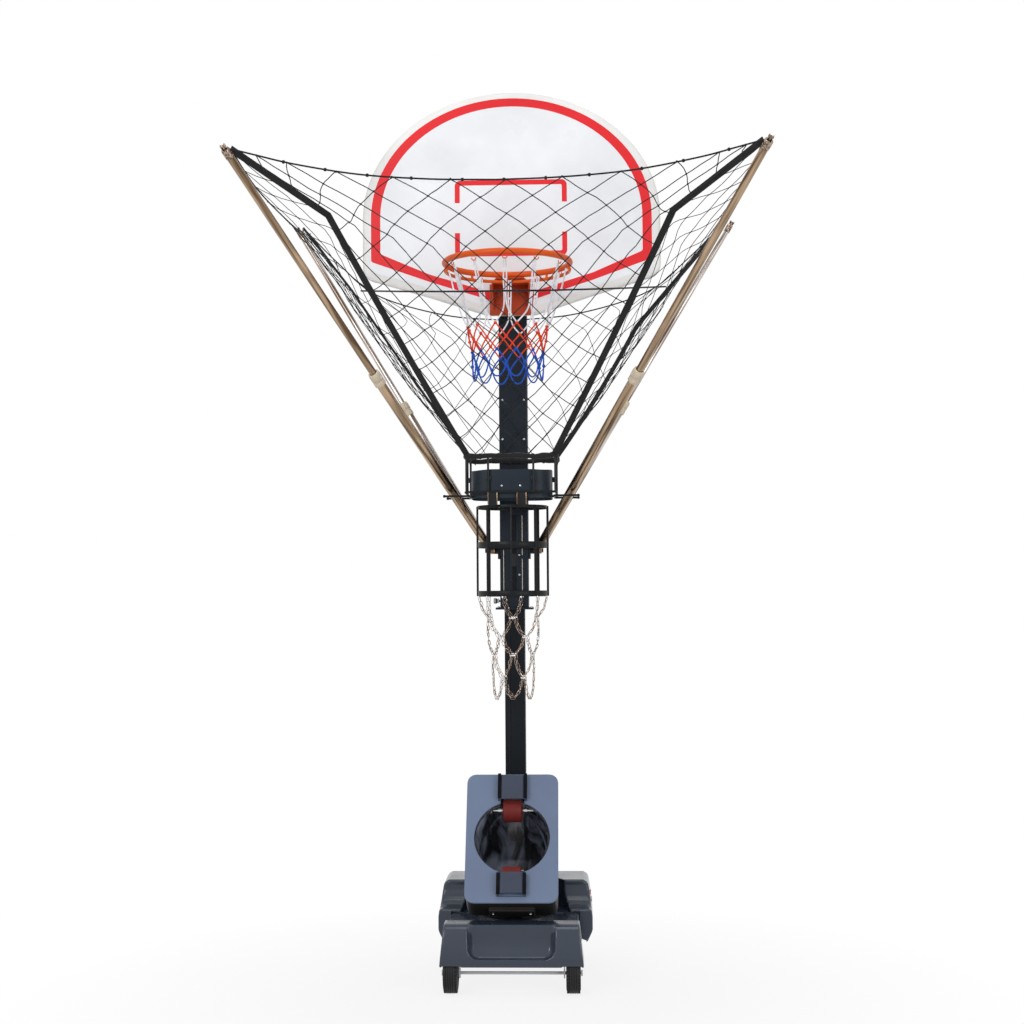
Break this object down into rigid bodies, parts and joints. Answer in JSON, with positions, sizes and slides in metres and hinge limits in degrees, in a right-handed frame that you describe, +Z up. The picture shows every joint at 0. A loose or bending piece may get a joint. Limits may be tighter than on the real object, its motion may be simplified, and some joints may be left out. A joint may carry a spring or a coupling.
{
  "type": "basketball shooting machine",
  "caption": "Wheeled basketball practice machine with a backboard and hoop on a sliding mast, a catch net on telescopic poles, and a swivelling launcher below.",
  "frame": {"origin": "floor under the centre of the overall box, on the machine's middle plane", "axes": "+Z up; -Y towards the player, the way the ball is thrown; +X to the player's right"},
  "size_m": [1.852, 1.626, 3.51],
  "materials": {
    "base_plastic": "gloss moulded",
    "black_plastic": "gloss moulded",
    "panel_plastic": "satin moulded",
    "mast_paint": "fine textured powder coat",
    "frame_paint": "satin powder coat",
    "steel": "zinc plated",
    "pole_steel": "drawn tube, satin",
    "tyre": "moulded rubber",
    "wheel_red": "ground rubber",
    "signal_red": "gloss moulded",
    "board_white": "gloss moulded",
    "rim_orange": "gloss powder coat",
    "net_white": "braided polyester cord",
    "net_black": "braided polyester cord",
    "chain": "nickel plated wire",
    "motor": "cast, satin",
    "battery": "moulded case"
  },
  "bodies": {
    "base": {"base_tray": "steel", "front_axle": "steel", "front_cover": "base_plastic", "rear_cover": "base_plastic", "mast_socket": "frame_paint", "lower_mast": "frame_paint", "height_rail": "frame_paint", "battery": "battery", "control_unit": "motor", "swivel_motor": "motor", "charge_port": "steel"},
    "front_wheel_l": {"front_wheel_left": "tyre"},
    "front_wheel_r": {"front_wheel_right": "tyre"},
    "caster_l": {"caster_fork_left": "steel"},
    "caster_r": {"caster_fork_right": "steel"},
    "caster_roller_l": {"caster_wheel_left": "tyre"},
    "caster_roller_r": {"caster_wheel_right": "tyre"},
    "brake_l": {"brake_pedal_left": "signal_red"},
    "brake_r": {"brake_pedal_right": "signal_red"},
    "switch": {"power_switch": "signal_red"},
    "launcher": {"turntable": "black_plastic", "head_frame": "steel", "head_shell": "black_plastic", "face_panel": "panel_plastic", "upper_guard": "panel_plastic", "lower_guard": "panel_plastic", "feed_bowl": "black_plastic", "hopper": "black_plastic", "upper_motor": "motor", "lower_motor": "motor"},
    "upper_roller": {"upper_launch_wheel": "wheel_red"},
    "lower_roller": {"lower_launch_wheel": "wheel_red"},
    "carriage": {"upper_mast": "mast_paint", "guide_liner_lower": "black_plastic", "guide_liner_upper": "black_plastic", "backboard": "board_white", "board_frame": "frame_paint", "rim_bracket": "rim_orange", "rim": "rim_orange", "hoop_net": "net_white", "collector_frame": "frame_paint", "collector_band": "frame_paint", "pole_rest_left": "frame_paint", "pole_rest_right": "frame_paint", "cage": "frame_paint", "chain_net": "chain", "pole_bracket_left": "frame_paint", "pole_bracket_right": "frame_paint", "net_left": "net_black", "net_right": "net_black", "tie_cord": "net_black"},
    "height_lock": {"lock_pin": "steel"},
    "front_arm_l": {"front_pole_left_outer": "pole_steel"},
    "front_extension_l": {"front_pole_left_inner": "pole_steel"},
    "rear_arm_l": {"rear_pole_left_outer": "pole_steel"},
    "rear_extension_l": {"rear_pole_left_inner": "pole_steel"},
    "front_arm_r": {"front_pole_right_outer": "pole_steel"},
    "front_extension_r": {"front_pole_right_inner": "pole_steel"},
    "rear_arm_r": {"rear_pole_right_outer": "pole_steel"},
    "rear_extension_r": {"rear_pole_right_inner": "pole_steel"}
  },
  "joints": [
    {"name": "front_wheel_left_spin", "type": "hinge", "parent": "base", "child": "front_wheel_l", "pos_m": [-0.2285, 0.093, 0.075], "axis": [1, 0, 0], "continuous": true},
    {"name": "caster_left_swivel", "type": "hinge", "parent": "base", "child": "caster_l", "pos_m": [-0.24, 0.733, 0.05], "axis": [0, 0, 1], "continuous": true},
    {"name": "caster_left_spin", "type": "hinge", "parent": "caster_l", "child": "caster_roller_l", "pos_m": [-0.24, 0.703, 0.05], "axis": [1, 0, 0], "continuous": true},
    {"name": "brake_left_press", "type": "hinge", "parent": "caster_l", "child": "brake_l", "pos_m": [-0.24, 0.769, 0.0982], "axis": [-1, 0, 0], "range_deg": [0, 12]},
    {"name": "front_wheel_right_spin", "type": "hinge", "parent": "base", "child": "front_wheel_r", "pos_m": [0.2285, 0.093, 0.075], "axis": [1, 0, 0], "continuous": true},
    {"name": "caster_right_swivel", "type": "hinge", "parent": "base", "child": "caster_r", "pos_m": [0.24, 0.733, 0.05], "axis": [0, 0, 1], "continuous": true},
    {"name": "caster_right_spin", "type": "hinge", "parent": "caster_r", "child": "caster_roller_r", "pos_m": [0.24, 0.703, 0.05], "axis": [1, 0, 0], "continuous": true},
    {"name": "brake_right_press", "type": "hinge", "parent": "caster_r", "child": "brake_r", "pos_m": [0.24, 0.769, 0.0982], "axis": [-1, 0, 0], "range_deg": [0, 12]},
    {"name": "power_switch_rock", "type": "hinge", "parent": "base", "child": "switch", "pos_m": [0.29, 0.563, 0.29], "axis": [0, 1, 0], "range_deg": [-6, 6]},
    {"name": "launcher_swivel", "type": "hinge", "parent": "base", "child": "launcher", "pos_m": [0, 0.423, 0.232], "axis": [0, 0, 1], "range_deg": [-60, 60]},
    {"name": "upper_launch_wheel_spin", "type": "hinge", "parent": "launcher", "child": "upper_roller", "pos_m": [0, 0.25311, 0.6545], "axis": [1, 0, 0], "continuous": true},
    {"name": "lower_launch_wheel_spin", "type": "hinge", "parent": "launcher", "child": "lower_roller", "pos_m": [0, 0.10981, 0.41958], "axis": [1, 0, 0], "continuous": true},
    {"name": "carriage_lift", "type": "slide", "parent": "base", "child": "carriage", "axis": [0, 0, 1], "range_m": [-0.155, 0.31]},
    {"name": "height_lock_slide", "type": "slide", "parent": "carriage", "child": "height_lock", "axis": [1, 0, 0], "range_m": [0, 0.0065]},
    {"name": "front_pole_left_swing", "type": "hinge", "parent": "carriage", "child": "front_arm_l", "pos_m": [-0.095, 0.583, 1.66], "axis": [-1, 0, 0], "range_deg": [0, 15], "deforming": ["net_left"]},
    {"name": "front_pole_left_extend", "type": "slide", "parent": "front_arm_l", "child": "front_extension_l", "axis": [-0.389, -0.6693, 0.633], "range_m": [-0.45, 0]},
    {"name": "rear_pole_left_swing", "type": "hinge", "parent": "carriage", "child": "rear_arm_l", "pos_m": [-0.095, 0.643, 1.66], "axis": [0, 1, 0], "range_deg": [0, 15], "deforming": ["tie_cord"]},
    {"name": "rear_pole_left_extend", "type": "slide", "parent": "rear_arm_l", "child": "rear_extension_l", "axis": [-0.5121, 0.0749, 0.8556], "range_m": [-0.47, 0]},
    {"name": "front_pole_right_swing", "type": "hinge", "parent": "carriage", "child": "front_arm_r", "pos_m": [0.095, 0.583, 1.66], "axis": [-1, 0, 0], "range_deg": [0, 15], "deforming": ["net_right"]},
    {"name": "front_pole_right_extend", "type": "slide", "parent": "front_arm_r", "child": "front_extension_r", "axis": [0.389, -0.6693, 0.633], "range_m": [-0.45, 0]},
    {"name": "rear_pole_right_swing", "type": "hinge", "parent": "carriage", "child": "rear_arm_r", "pos_m": [0.095, 0.643, 1.66], "axis": [0, -1, 0], "range_deg": [0, 15]},
    {"name": "rear_pole_right_extend", "type": "slide", "parent": "rear_arm_r", "child": "rear_extension_r", "axis": [0.5121, 0.0749, 0.8556], "range_m": [-0.47, 0]}
  ]
}
